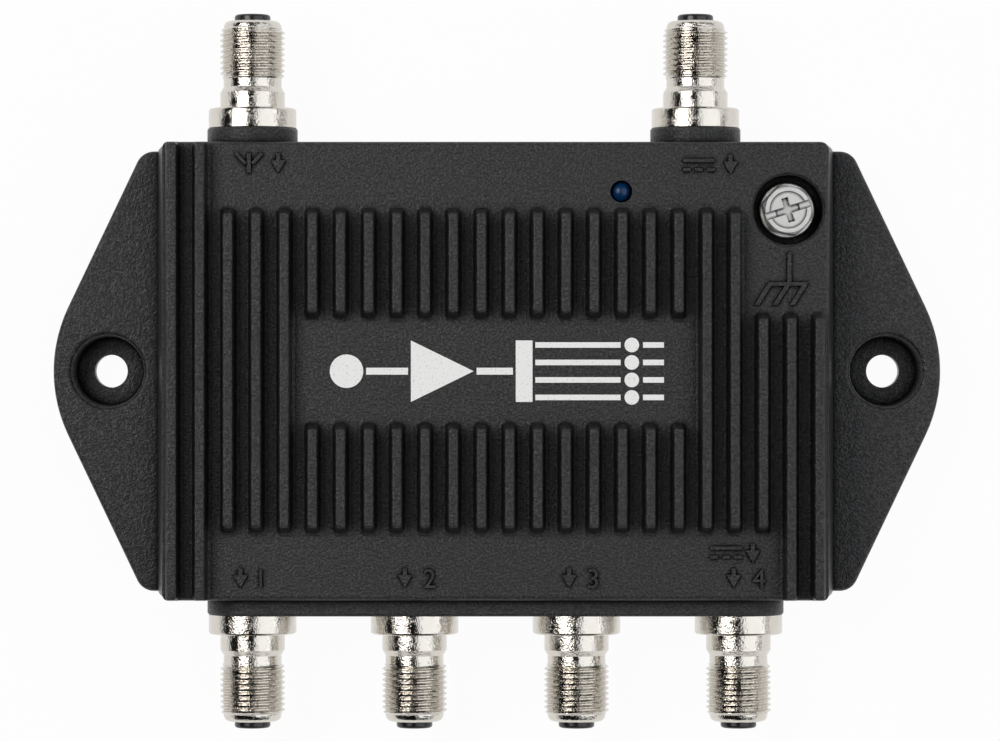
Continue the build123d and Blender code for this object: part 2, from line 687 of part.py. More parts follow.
def ground_screw():
    """The hex-headed ground screw with a slot across a shallow dish and a cross recess."""
    seat = GROUND_WASHER_THICKNESS
    top = seat + GROUND_HEX_LENGTH
    hexagon = RegularPolygon(GROUND_HEX_WIDTH / 2, 6, major_radius=False, rotation=GROUND_HEX_TURN_DEG)
    head = extrude(hexagon, GROUND_HEX_LENGTH)
    crown = taper(GROUND_HEX_WIDTH / 2 + GROUND_HEX_LENGTH, GROUND_HEX_WIDTH / 2, GROUND_HEX_LENGTH)
    head = Pos(0, 0, seat) * (head & crown)
    dish = rod(GROUND_DISH_DIAMETER / 2, GROUND_DISH_DEPTH + CUT_OVERRUN, 0, 0, top - GROUND_DISH_DEPTH)
    slot_depth = GROUND_SLOT_DEPTH + CUT_OVERRUN
    slot = block(2 * GROUND_HEX_WIDTH, GROUND_SLOT_WIDTH, slot_depth, 0, 0, top - GROUND_SLOT_DEPTH)
    cross = cross_recess(GROUND_CROSS_SPAN, GROUND_CROSS_WIDTH, GROUND_CROSS_DEPTH, top)
    drive = Rot(Z=GROUND_SLOT_TURN_DEG) * (slot + cross)
    tip = -GROUND_SHANK_LENGTH + SCREW_TIP_GAP
    crest = GROUND_SHANK_DIAMETER / 2
    root = crest - GROUND_THREAD_DEPTH
    shank = turned([
        (0, tip),
        (root, tip),
        *thread_outline(crest, GROUND_THREAD_DEPTH, GROUND_THREAD_PITCH, tip, 0),
        (root, 0),
        (crest, 0),
        (crest, seat),
        (0, seat),
    ])
    solid = head - dish - drive + shank
    return Pos(GROUND_X, GROUND_Y, recess_floor_z) * solid


def back_cover():
    """The plate that closes the box, with a shallow pressed panel and countersunk holes."""
    plate = extrude(cover_outline(0), COVER_THICKNESS)
    width = BOX_WIDTH - 2 * COVER_PANEL_MARGIN
    length = BOX_LENGTH - 2 * COVER_PANEL_MARGIN
    panel_outline = Pos(BOX_OFFSET, 0, 0) * RectangleRounded(width, length, COVER_CORNER_RADIUS)
    panel = extrude(panel_outline, COVER_PANEL_DEPTH)
    plate = plate - panel + Pos(0, 0, COVER_THICKNESS) * panel
    head_radius = SCREW_HEAD_DIAMETER / 2 + SCREW_CLEARANCE
    hole_radius = SCREW_DIAMETER / 2 + SCREW_CLEARANCE
    sink = taper(head_radius, hole_radius, COUNTERSINK_LENGTH)
    for x, y in cover_screw_places():
        plate = plate - Pos(x, y, 0) * sink
        plate = plate - rod(hole_radius, COVER_THICKNESS + CUT_OVERRUN, x, y)
    return Pos(0, 0, COVER_SETBACK) * plate


# Board and what it carries

def circuit_board():
    """The board, notched round the cover posts and the ground boss."""
    half_width = wall_half_width(board_high_z) - BOX_WALL - BOARD_CLEARANCE
    half_length = cavity_half_length - BOARD_CLEARANCE
    board = block(2 * half_width, 2 * half_length, BOARD_THICKNESS, BOX_OFFSET, 0, board_low_z)
    deep = BOARD_THICKNESS + 2 * CUT_OVERRUN
    low = board_low_z - CUT_OVERRUN
    notch = COVER_POST_DIAMETER / 2 + BOARD_CLEARANCE
    for x, y in cover_screw_places():
        out_x = notch if x > 0 else -notch
        out_y = notch if y > 0 else -notch
        board = board - rod(notch, deep, x, y, low)
        for shift_x, shift_y in ((out_x, 0), (0, out_y), (out_x, out_y)):
            board = board - block(2 * notch, 2 * notch, deep, x + shift_x, y + shift_y, low)
    boss_notch = GROUND_SHANK_DIAMETER / 2 + GROUND_BOSS_WALL + BOARD_CLEARANCE
    board = board - rod(boss_notch, deep, GROUND_X, GROUND_Y, low)
    board = board - block(boss_notch, 2 * boss_notch, deep, GROUND_X + boss_notch / 2, GROUND_Y, low)
    for x, y in board_screw_places():
        board = board - rod(SCREW_DIAMETER / 2 + BOARD_HOLE_CLEARANCE, deep, x, y, low)
    for side in (-1, 1):
        board = board - rod(LAMP_LEAD_WIDTH, deep, LAMP_X + side * LAMP_LEAD_SPACING / 2, LAMP_Y, low)
    return board


def status_lamp():
    """The lamp's clear body: a collar and a domed barrel that reaches into the face's hole."""
    base = board_high_z + LAMP_STANDOFF
    tip = BOX_DEPTH - LAMP_RECESS
    radius = LAMP_DIAMETER / 2
    barrel = rod(radius, tip - radius - base, LAMP_X, LAMP_Y, base)
    dome = Pos(LAMP_X, LAMP_Y, tip - radius) * Sphere(radius)
    collar = rod(LAMP_COLLAR_DIAMETER / 2, LAMP_COLLAR_HEIGHT, LAMP_X, LAMP_Y, base)
    return barrel + dome + collar


def lamp_leads():
    """The lamp's two leads, from its base through the board."""
    low = board_low_z - LAMP_LEAD_STANDOUT
    high = board_high_z + LAMP_STANDOFF
    leads = []
    for side in (-1, 1):
        x = LAMP_X + side * LAMP_LEAD_SPACING / 2
        leads.append(block(LAMP_LEAD_WIDTH, LAMP_LEAD_WIDTH, high - low, x, LAMP_Y, low))
    return leads


def hung(length, width, height, x, y):
    """A block that hangs from the board's wall-side face."""
    return block(length, width, height, x, y, board_low_z - height)


def amplifier_chip():
    """The amplifier's moulded body."""
    return hung(CHIP_LENGTH, CHIP_WIDTH, CHIP_HEIGHT, CHIP_X, CHIP_Y)


def lead_row(count, pitch, width, reach, thickness, x, y, side):
    """A row of leads that leave a body's side at the board."""
    leads = []
    for i in range(count):
        lead_x = x + (i - (count - 1) / 2) * pitch
        leads.append(hung(width, reach, thickness, lead_x, y + side * reach / 2))
    return leads


def chip_leads():
    """The amplifier's leads on both long sides."""
    leads = []
    for side in (-1, 1):
        edge_y = CHIP_Y + side * CHIP_WIDTH / 2
        leads += lead_row(CHIP_LEADS_A_SIDE, CHIP_LEAD_PITCH, CHIP_LEAD_WIDTH, CHIP_LEAD_REACH,
                          CHIP_LEAD_THICKNESS, CHIP_X, edge_y, side)
    return leads


def voltage_regulator():
    """The regulator's moulded body."""
    return hung(REGULATOR_LENGTH, REGULATOR_WIDTH, REGULATOR_HEIGHT, REGULATOR_X, REGULATOR_Y)


def regulator_leads():
    """The regulator's three leads and its wide tab."""
    low_y = REGULATOR_Y - REGULATOR_WIDTH / 2
    high_y = REGULATOR_Y + REGULATOR_WIDTH / 2
    leads = lead_row(REGULATOR_LEADS, REGULATOR_LEAD_PITCH, REGULATOR_LEAD_WIDTH, REGULATOR_LEAD_REACH,
                     REGULATOR_LEAD_THICKNESS, REGULATOR_X, low_y, -1)
    leads.append(hung(REGULATOR_TAB_WIDTH, REGULATOR_LEAD_REACH, REGULATOR_LEAD_THICKNESS,
                      REGULATOR_X, high_y + REGULATOR_LEAD_REACH / 2))
    return leads


def choke_core():
    """The power choke's drum core, standing on the board."""
    core = rod(CHOKE_CORE_DIAMETER / 2, CHOKE_HEIGHT)
    for z in (0, CHOKE_HEIGHT - CHOKE_FLANGE_HEIGHT):
        core = core + rod(CHOKE_FLANGE_DIAMETER / 2, CHOKE_FLANGE_HEIGHT, 0, 0, z)
    return Pos(CHOKE_X, CHOKE_Y, board_low_z - CHOKE_HEIGHT) * core


def choke_winding():
    """The choke's winding, as the sleeve that its wire fills."""
    height = CHOKE_HEIGHT - 2 * CHOKE_FLANGE_HEIGHT - 2 * WINDING_CLEARANCE
    low = CHOKE_FLANGE_HEIGHT + WINDING_CLEARANCE
    sleeve = rod(CHOKE_WINDING_DIAMETER / 2, height, 0, 0, low)
    sleeve = sleeve - rod(CHOKE_CORE_DIAMETER / 2 + WINDING_CLEARANCE, CHOKE_HEIGHT)
    return Pos(CHOKE_X, CHOKE_Y, board_low_z - CHOKE_HEIGHT) * sleeve


def filter_capacitor():
    """The electrolytic capacitor's can."""
    height = CAPACITOR_HEIGHT - CAPACITOR_BASE_HEIGHT
    low = board_low_z - CAPACITOR_HEIGHT
    can = rod(CAPACITOR_DIAMETER / 2, height, CAPACITOR_X, CAPACITOR_Y, low)
    return fillet(can.faces().sort_by(Axis.Z)[0].edges(), CAPACITOR_EDGE_RADIUS)


def capacitor_base():
    """The capacitor's moulded foot on the board."""
    return hung(CAPACITOR_BASE_WIDTH, CAPACITOR_BASE_WIDTH, CAPACITOR_BASE_HEIGHT, CAPACITOR_X, CAPACITOR_Y)


def reverse_diode():
    """The diode that guards against reversed power."""
    return hung(DIODE_LENGTH, DIODE_WIDTH, DIODE_HEIGHT, DIODE_X, DIODE_Y)


def input_coils():
    """The air-cored coils of the input filter, lying on the board."""
    coil_radius = (COIL_DIAMETER - COIL_WIRE_DIAMETER) / 2
    length = COIL_TURNS * COIL_PITCH
    coils = []
    for i in range(COIL_COUNT):
        path = Helix(pitch=COIL_PITCH, height=length, radius=coil_radius, center=(0, 0, -length / 2))
        section = Plane(origin=path @ 0, z_dir=path % 0) * Circle(COIL_WIRE_DIAMETER / 2)
        coil = sweep(section, path=path, is_frenet=True)
        y = COIL_Y - i * COIL_SPACING
        coils.append(Pos(COIL_X, y, board_low_z - COIL_DIAMETER / 2) * Rot(Y=90) * coil)
    return coils


def core_places():
    """Where the two ferrite cores of each splitter stand."""
    return [(BOX_OFFSET + x + side * CORE_SPACING / 2, y) for x, y in SPLITTER_PLACES for side in (-1, 1)]


def splitter_cores():
    """The two-hole ferrite cores, two for each splitter."""
    cores = []
    for x, y in core_places():
        core = hung(CORE_WIDTH, CORE_LENGTH, CORE_HEIGHT, x, y)
        for side in (-1, 1):
            axis = Pos(x + side * CORE_HOLE_SPACING / 2, y, board_low_z - CORE_HEIGHT / 2) * Rot(X=90)
            core = core - axis * Cylinder(CORE_HOLE_DIAMETER / 2, CORE_LENGTH + CUT_OVERRUN)
        cores.append(core)
    return cores


def splitter_windings():
    """A wire loop through both holes of each ferrite core, with its ends turned to the board."""
    loops = []
    half_gap = CORE_HOLE_SPACING / 2
    reach = CORE_LENGTH / 2 + LOOP_OVERHANG
    drop = CORE_HEIGHT / 2 - LOOP_WIRE_DIAMETER / 2
    bend = LOOP_OVERHANG / 2
    for x, y in core_places():
        points = [
            (-half_gap, -reach, drop),
            (-half_gap, -reach, 0),
            (-half_gap, reach, 0),
            (half_gap, reach, 0),
            (half_gap, -reach, 0),
            (half_gap, -reach, drop),
        ]
        path = FilletPolyline(*points, radius=bend)
        section = Plane(origin=path @ 0, z_dir=path % 0) * Circle(LOOP_WIRE_DIAMETER / 2)
        loop = sweep(section, path=path)
        loops.append(Pos(x, y, board_low_z - CORE_HEIGHT / 2) * loop)
    return loops


def small_parts(sizes, rows):
    """Rows of small chip parts, each row starting at a place and running along X."""
    length, width, height = sizes
    parts = []
    for x, y in rows:
        for i in range(SMALL_ROW_LENGTH):
            parts.append(hung(length, width, height, x + i * SMALL_PART_SPACING, y))
    return parts


def thermal_pad():
    """The soft pad between the board and the casting's pedestal."""
    return block(PAD_LENGTH, PAD_WIDTH, PAD_THICKNESS, CHIP_X, CHIP_Y, board_high_z)


def nodes():
    """Every piece by name: a solid, or a list of separate solids."""
    pieces = {
        "housing": housing(),
        "back_cover": back_cover(),
        "cover_screws": [Pos(x, y, COVER_SETBACK) * cover_screw() for x, y in cover_screw_places()],
        "circuit_board": circuit_board(),
        "board_screws": [Pos(x, y, board_low_z) * board_screw() for x, y in board_screw_places()],
        "status_lamp": status_lamp(),
        "lamp_leads": lamp_leads(),
        "ground_screw": ground_screw(),
        "ground_washer": ground_washer(),
        "thermal_pad": thermal_pad(),
        "amplifier_chip": amplifier_chip(),
        "chip_leads": chip_leads(),
        "voltage_regulator": voltage_regulator(),
        "regulator_leads": regulator_leads(),
        "power_choke_core": choke_core(),
        "power_choke_winding": choke_winding(),
        "filter_capacitor": filter_capacitor(),
        "capacitor_base": capacitor_base(),
        "reverse_diode": reverse_diode(),
        "input_coils": input_coils(),
        "splitter_cores": splitter_cores(),
        "splitter_windings": splitter_windings(),
        "chip_capacitors": small_parts(SMALL_CAPACITOR_SIZES, SMALL_CAPACITOR_ROWS),
        "chip_resistors": small_parts(SMALL_RESISTOR_SIZES, SMALL_RESISTOR_ROWS),
    }
    body = socket_body()
    bushing = insulator()
    contact = centre_contact()
    for name, place in port_places().items():
        pieces[f"{name}_socket"] = place * body
        pieces[f"{name}_insulator"] = place * bushing
        pieces[f"{name}_contact"] = place * contact
    return pieces


os.makedirs("parts", exist_ok=True)
for name, piece in nodes().items():
    shape = Compound(children=piece) if isinstance(piece, list) else piece
    export_step(shape, f"parts/{name}.step")
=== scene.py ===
import json
from math import cos, pi, radians, sin, tan

import bmesh
import bpy
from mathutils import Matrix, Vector

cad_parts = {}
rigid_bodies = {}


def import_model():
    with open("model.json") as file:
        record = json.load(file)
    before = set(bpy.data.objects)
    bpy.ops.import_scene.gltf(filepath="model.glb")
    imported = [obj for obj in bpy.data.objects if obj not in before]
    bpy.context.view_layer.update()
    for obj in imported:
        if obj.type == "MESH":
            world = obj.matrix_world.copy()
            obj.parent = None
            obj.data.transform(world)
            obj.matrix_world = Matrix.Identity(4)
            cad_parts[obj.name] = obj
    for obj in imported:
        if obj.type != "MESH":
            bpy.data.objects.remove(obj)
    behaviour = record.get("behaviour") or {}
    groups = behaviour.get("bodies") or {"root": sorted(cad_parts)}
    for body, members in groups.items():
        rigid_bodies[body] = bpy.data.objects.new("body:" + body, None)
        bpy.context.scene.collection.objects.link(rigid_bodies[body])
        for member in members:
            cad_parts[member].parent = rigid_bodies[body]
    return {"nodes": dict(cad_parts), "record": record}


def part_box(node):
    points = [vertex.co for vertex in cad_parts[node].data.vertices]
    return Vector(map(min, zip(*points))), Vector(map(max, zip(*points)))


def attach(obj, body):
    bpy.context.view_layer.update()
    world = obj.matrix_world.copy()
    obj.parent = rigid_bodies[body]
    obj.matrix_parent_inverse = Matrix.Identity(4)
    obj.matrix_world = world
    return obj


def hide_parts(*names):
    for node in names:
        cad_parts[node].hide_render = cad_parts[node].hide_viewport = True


# One millimetre, in metres
MM = 0.001

# Camera: straight above, at the photograph's distance
CAMERA_PLACE = (0.45 * MM, 0.1 * MM, 629 * MM)
CAMERA_LENS = 153.8
CAMERA_SENSOR = 36
CAMERA_RANGE = (0.01, 20)

# Levels of the casting's face and of what lies on it, in millimetres
FACE_Z = 18.0
PRINT_RISE = 0.04
PRINT_EDGE = 0.01
MARK_RISE = 0.4
MARK_EDGE = 0.12
NUMERAL_EDGE = 0.1

# Lights and cards, in metres, with angles from straight up towards the right, seen from the object
LIGHT_DISTANCE = 1.0
LEFT_LIGHT_DEG = (-49, -18)
RIGHT_LIGHT_DEG = (10, 69)
CEILING_Z = 1.6
CEILING_HALF = 3.5
OVER_CARD_Z = 1.25
OVER_CARD_DEG = (-20, 8)
SIDE_CARD_X = 1.0
LEFT_CARD_DEG = (50, 84)
RIGHT_CARD_DEG = (70, 80)
CARD_HALF_LENGTH = 1.5

# Floor: half its width in metres, its drop under the object in millimetres, and how white it shows
FLOOR_HALF = 4.0
FLOOR_DROP = 0.02
FLOOR_WHITE_SHARE = 0.96

# Soft light from all round
WORLD_COLOUR = (0.9, 0.95, 1.0, 1)
WORLD_STRENGTH = 0.06


def clear_start():
    """Removes whatever the scene starts with."""
    for obj in list(bpy.data.objects):
        bpy.data.objects.remove(obj)


clear_start()
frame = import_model()
bpy.context.view_layer.update()
nodes = frame["nodes"]


# Small tools for shader nodes

class Shader:
    """A material with its principled shader, and short ways to add nodes to it."""

    def __init__(self, name):
        self.material = bpy.data.materials.new(name)
        self.material.use_nodes = True
        self.tree = self.material.node_tree
        self.principled = self.tree.nodes["Principled BSDF"]
        self.output = self.tree.nodes["Material Output"]

    def add(self, kind, settings=None, **inputs):
        node = self.tree.nodes.new("ShaderNode" + kind)
        for key, value in (settings or {}).items():
            setattr(node, key, value)
        for key, value in inputs.items():
            self.feed(node, key.replace("_", " "), value)
        return node

    def feed(self, node, key, value):
        socket = node.inputs[int(key)] if key.isdigit() else node.inputs[key]
        if isinstance(value, bpy.types.NodeSocket):
            self.tree.links.new(value, socket)
        else:
            socket.default_value = value

    def set(self, **inputs):
        for key, value in inputs.items():
            self.feed(self.principled, key.replace("_", " "), value)

    def place(self, stretch=(1, 1, 1)):
        """The point's place on the object, in metres, stretched along each axis."""
        where = self.add("TexCoord").outputs["Object"]
        return self.add("Mapping", Vector=where, Scale=stretch).outputs["Vector"]

    def noise(self, size, detail=2, roughness=0.5, stretch=(1, 1, 1)):
        """Noise from 0 to 1 with features of about a size in millimetres."""
        where = self.place(stretch)
        made = self.add("TexNoise", Vector=where, Scale=1 / (size * MM), Detail=detail, Roughness=roughness)
        return made.outputs["Fac"]

    def spread(self, value, low, high, to_low=0.0, to_high=1.0):
        """Maps a value from one range to another, held inside it."""
        made = self.add("MapRange", Value=value)
        for key, level in (("From Min", low), ("From Max", high), ("To Min", to_low), ("To Max", to_high)):
            made.inputs[key].default_value = level
        return made.outputs["Result"]

    def math(self, operation, first, second=0.0):
        made = self.add("Math", {"operation": operation})
        self.feed(made, "0", first)
        self.feed(made, "1", second)
        return made.outputs[0]

    def blend(self, share, low, high):
        """A colour between two colours."""
        made = self.add("Mix", {"data_type": "RGBA"})
        self.feed(made, "0", share)
        self.feed(made, "6", low if isinstance(low, bpy.types.NodeSocket) else (*low, 1))
        self.feed(made, "7", high if isinstance(high, bpy.types.NodeSocket) else (*high, 1))
        return made.outputs[2]

    def bump(self, height, depth, below=None):
        """A normal from a height of 0 to 1 that stands for a depth in millimetres."""
        made = self.add("Bump", Height=height, Distance=depth * MM)
        if below:
            self.feed(made, "Normal", below)
        return made.outputs["Normal"]

    def edges(self, radius):
        """1 on sharp outer and inner edges within a radius in millimetres, 0 on flats."""
        rounded = self.add("Bevel", {"samples": 4}, Radius=radius * MM).outputs["Normal"]
        flat = self.add("NewGeometry").outputs["Normal"]
        turn = self.add("VectorMath", {"operation": "DOT_PRODUCT"})
        self.tree.links.new(rounded, turn.inputs[0])
        self.tree.links.new(flat, turn.inputs[1])
        return self.spread(turn.outputs["Value"], 0.995, 0.8)

    def openness(self, reach, low, high):
        """0 in corners and narrow gaps, 1 on open surfaces, judged within a reach in millimetres."""
        made = self.add("AmbientOcclusion", {"samples": 6}, Distance=reach * MM)
        return self.spread(made.outputs["AO"], low, high)


# Materials

def powder_coat():
    """Black powder coat: a fine grain and rubbed edges, with painted shade that darkens its colour and
    lowers its specular level in corners and grooves.
    """
    s = Shader("powder_coat")
    grain = s.noise(0.36, detail=2, roughness=0.7)
    peel = s.noise(1.1, detail=2)
    cloud = s.noise(22, detail=3)
    dark = s.blend(cloud, (0.005, 0.005, 0.006), (0.008, 0.008, 0.009))
    speck = s.blend(s.spread(grain, 0.46, 0.62), dark, (0.036, 0.036, 0.038))
    worn = s.math("MULTIPLY", s.edges(0.25), s.spread(peel, 0.3, 0.7, 0.2, 1.0))
    rubbed = s.blend(s.math("MULTIPLY", worn, 0.4), speck, (0.07, 0.07, 0.072))
    # Painted shade: occlusion within 0.8 mm and 3.2 mm marks corners, the feet of raised marks and the rib
    # grooves
    painted_corner_shade = s.openness(0.8, 0.5, 0.95)
    wide = s.spread(s.openness(3.2, 0.45, 0.85), 0, 1, 0.45, 1.0)
    painted_shade_openness = s.math("MULTIPLY", painted_corner_shade, wide)
    s.set(
        # The near-black colour and the low specular level where the surface is closed in are painted shade
        Base_Color=s.blend(painted_shade_openness, (0.0012, 0.0012, 0.0012), rubbed),
        Roughness=s.spread(grain, 0.35, 0.65, 0.46, 0.26),
        Normal=s.bump(grain, 0.16, s.bump(peel, 0.06)),
        Specular_IOR_Level=s.spread(painted_shade_openness, 0, 1, 0.02, 0.42),
    )
    return s.material


def nickel():
    """Bright nickel plate over turned brass, with tumbled grain and faint turning lines."""
    s = Shader("nickel")
    grain = s.noise(0.3, detail=2, roughness=0.6)
    patches = s.noise(1.6, detail=2)
    lines = s.noise(0.12, detail=1, stretch=(0.02, 1, 0.02))
    tumbled = s.math("MULTIPLY", grain, s.spread(patches, 0.35, 0.65, 0.4, 1.0))
    s.set(
        Base_Color=s.blend(patches, (0.62, 0.585, 0.53), (0.70, 0.67, 0.62)),
        Roughness=s.spread(patches, 0.3, 0.7, 0.07, 0.15),
        Normal=s.bump(tumbled, 0.08, s.bump(lines, 0.002)),
    )
    s.principled.inputs["Metallic"].default_value = 1.0
    return s.material


def screw_nickel():
    """The ground screw's plating: duller, with turned rings round its axis and painted shade in its
    corners.
    """
    s = Shader("screw_nickel")
    low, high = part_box("ground_screw")
    centre = (low + high) / 2
    where = s.add("Mapping", Vector=s.add("TexCoord").outputs["Object"], Location=(-centre.x, -centre.y, 0))
    flat = s.add("VectorMath", {"operation": "MULTIPLY"})
    s.tree.links.new(where.outputs["Vector"], flat.inputs[0])
    flat.inputs[1].default_value = (1, 1, 0)
    radius = s.add("VectorMath", {"operation": "LENGTH"})
    s.tree.links.new(flat.outputs["Vector"], radius.inputs[0])
    rings = s.add("TexNoise", {"noise_dimensions": "1D"}, Scale=1 / (0.12 * MM), Detail=2.0)
    s.tree.links.new(radius.outputs["Value"], rings.inputs["W"])
    pits = s.noise(0.5, detail=2)
    plating = s.blend(pits, (0.88, 0.87, 0.85), (0.95, 0.94, 0.93))
    s.set(
        # Painted shade: the plating colour darkens to near-black in corners, the slot and the cross recess
        Base_Color=s.blend(s.openness(0.5, 0.6, 0.95), (0.06, 0.055, 0.05), plating),
        Roughness=s.spread(pits, 0.3, 0.7, 0.32, 0.4),
        Normal=s.bump(pits, 0.002, s.bump(rings.outputs["Fac"], 0.002)),
    )
    s.principled.inputs["Metallic"].default_value = 1.0
    return s.material


def moulded_plastic(name, colour, roughness, grain=0.25, depth=0.004):
    """A plain moulded plastic with a faint texture."""
    s = Shader(name)
    texture = s.noise(grain, detail=3)
    lighter = tuple(min(1, 1.25 * c + 0.004) for c in colour)
    s.set(
        Base_Color=s.blend(s.noise(2.5, detail=2), colour, lighter),
        Roughness=s.spread(texture, 0.3, 0.7, roughness * 0.85, roughness * 1.15),
        Normal=s.bump(texture, depth),
    )
    return s.material


def drawn_metal(name, colour, roughness, stretch=(0.02, 1, 1)):
    """Rolled or drawn metal with fine lines along one axis."""
    s = Shader(name)
    lines = s.noise(0.12, detail=3, stretch=stretch)
    patches = s.noise(5, detail=3)
    lighter = tuple(min(1, 1.15 * c) for c in colour)
    s.set(
        Base_Color=s.blend(patches, colour, lighter),
        Roughness=s.spread(lines, 0.25, 0.75, roughness * 0.8, roughness * 1.25),
        Normal=s.bump(lines, 0.004),
    )
    s.principled.inputs["Metallic"].default_value = 1.0
    return s.material


def lamp_resin():
    """Clear blue moulded resin, unlit."""
    s = Shader("lamp_resin")
    haze = s.noise(0.8, detail=2)
    s.set(
        Base_Color=s.blend(haze, (0.001, 0.03, 0.11), (0.002, 0.045, 0.15)),
        Roughness=s.spread(haze, 0.3, 0.7, 0.26, 0.36),
        Normal=s.bump(s.noise(0.5), 0.004),
    )
    s.principled.inputs["Specular IOR Level"].default_value = 0.2
    s.principled.inputs["Transmission Weight"].default_value = 0.35
    s.principled.inputs["IOR"].default_value = 1.55
    return s.material


def white_print():
    """Thick white screen print with small greyer pits."""
    s = Shader("white_print")
    pits = s.noise(0.3, detail=3, roughness=0.6)
    s.set(
        Base_Color=s.blend(s.spread(pits, 0.3, 0.42), (0.62, 0.62, 0.62), (0.93, 0.93, 0.92)),
        Roughness=s.spread(pits, 0.3, 0.7, 0.45, 0.6),
        Normal=s.bump(pits, 0.02),
    )
    return s.material


def laminate():
    """Green solder mask with copper tracks faintly raised under it."""
    s = Shader("laminate")
    bricks = s.add("TexBrick", Vector=s.place(), Scale=1 / (3.2 * MM))
    bricks.inputs["Mortar Size"].default_value = 0.06
    weave = s.noise(0.6, detail=3)
    tracks = bricks.outputs["Fac"]
    s.set(
        Base_Color=s.blend(tracks, (0.012, 0.085, 0.03), (0.03, 0.17, 0.06)),
        Roughness=s.spread(weave, 0.3, 0.7, 0.25, 0.4),
        Normal=s.bump(tracks, 0.03, s.bump(weave, 0.01)),
    )
    return s.material


def winding(name, colour):
    """Enamelled copper, with turns of fine wire along Z where it is a sleeve."""
    s = Shader(name)
    bands = {"bands_direction": "Z"}
    turns = s.add("TexWave", bands, Vector=s.place(), Scale=1 / (1.2 * MM), Distortion=0.4)
    s.set(
        Base_Color=s.blend(s.noise(0.7), colour, tuple(1.4 * c for c in colour)),
        Roughness=s.spread(s.noise(0.4), 0.3, 0.7, 0.2, 0.34),
        Normal=s.bump(turns.outputs["Fac"], 0.04),
    )
    s.principled.inputs["Metallic"].default_value = 1.0
    return s.material


materials = {
    "black_powder_coat": powder_coat(),
    "cover_zinc_plate": drawn_metal("cover_plate", (0.58, 0.58, 0.55), 0.34),
    "screw_steel": drawn_metal("screw_steel", (0.6, 0.6, 0.57), 0.3, (1, 1, 0.1)),
    "socket_nickel": nickel(),
    "insulator_plastic": moulded_plastic("insulator_black", (0.012, 0.012, 0.013), 0.22, 0.5, 0.006),
    "contact_metal": drawn_metal("contact_bronze", (0.75, 0.62, 0.36), 0.25, (1, 0.05, 1)),
    "lamp_blue": lamp_resin(),
    "board_laminate": laminate(),
    "chip_plastic": moulded_plastic("chip_resin", (0.02, 0.02, 0.022), 0.55),
    "lead_tin": drawn_metal("lead_tin", (0.68, 0.68, 0.68), 0.35),
    "ferrite": moulded_plastic("ferrite_grey", (0.05, 0.048, 0.046), 0.5, 0.2, 0.02),
    "copper_wire": winding("copper_enamel", (0.42, 0.13, 0.04)),
    "capacitor_can": drawn_metal("bare_aluminium", (0.75, 0.75, 0.76), 0.28, (1, 1, 0.05)),
    "ceramic_chip": moulded_plastic("tan_ceramic", (0.3, 0.2, 0.12), 0.45),
    "pad_rubber": moulded_plastic("grey_silicone", (0.2, 0.23, 0.3), 0.7, 0.4, 0.03),
}
for part in frame["record"]["subparts"]:
    nodes[part["node"]].material_slots[0].material = materials[part["material_slot"]]
for name in ("ground_screw", "ground_washer"):
    nodes[name].material_slots[0].material = screw_nickel()


# Sockets, in millimetres: the solids' turned bodies again, with the thread as one true helix.
# Stations are distances from the boss face outwards.

PORTS = ("aerial_in", "power_in", "output_1", "output_2", "output_3", "output_4")
REAR_BORE_RADIUS = 3.5
NOSE_BORE_RADIUS = 2.62
BORE_STEP = 4.5
SHANK_RADIUS = 4.5
SHANK_END = -4.8
FLANGE_RADIUS = 6.35
FLANGE_END = 2.8
FLANGE_EDGE = ((0, 0.3), (0.07, 0.12), (0.25, 0))
BODY_RADIUS = 4.675
BODY_FOOT = (0.055, 0.06)
BODY_END = 5.1
RELIEF_RADIUS = 4.2
RELIEF_START = 5.9
THREAD_START = 7.1
THREAD_END = 14.5
THREAD_PITCH = 0.79375
THREAD_CREST = 4.71
THREAD_ROOT = 4.223
THREAD_FLAT_SHARE = 0.1
THREAD_FADE = 0.5
METAL_END = 15.5
TIP_RADIUS = 4.175
TIP_ROUND = 0.85

# How finely they are drawn: steps round, rows for a turn of the thread, steps of the tip's round,
# and the angle from which an edge stays sharp
ROUND_STEPS = 112
THREAD_ROWS = 18
TIP_STEPS = 6
SHARP_ANGLE = radians(20)


def thread_radius(station, turn):
    """The thread's radius at a station and a share of a turn, fading out at both ends."""
    phase = ((station - THREAD_START) / THREAD_PITCH - turn) % 1
    height = (1 - abs(2 * phase - 1) - THREAD_FLAT_SHARE) / (1 - 2 * THREAD_FLAT_SHARE)
    fade = min(station - THREAD_START, THREAD_END - station, THREAD_FADE) / THREAD_FADE
    return THREAD_ROOT + (THREAD_CREST - THREAD_ROOT) * min(max(height, 0), 1) * fade


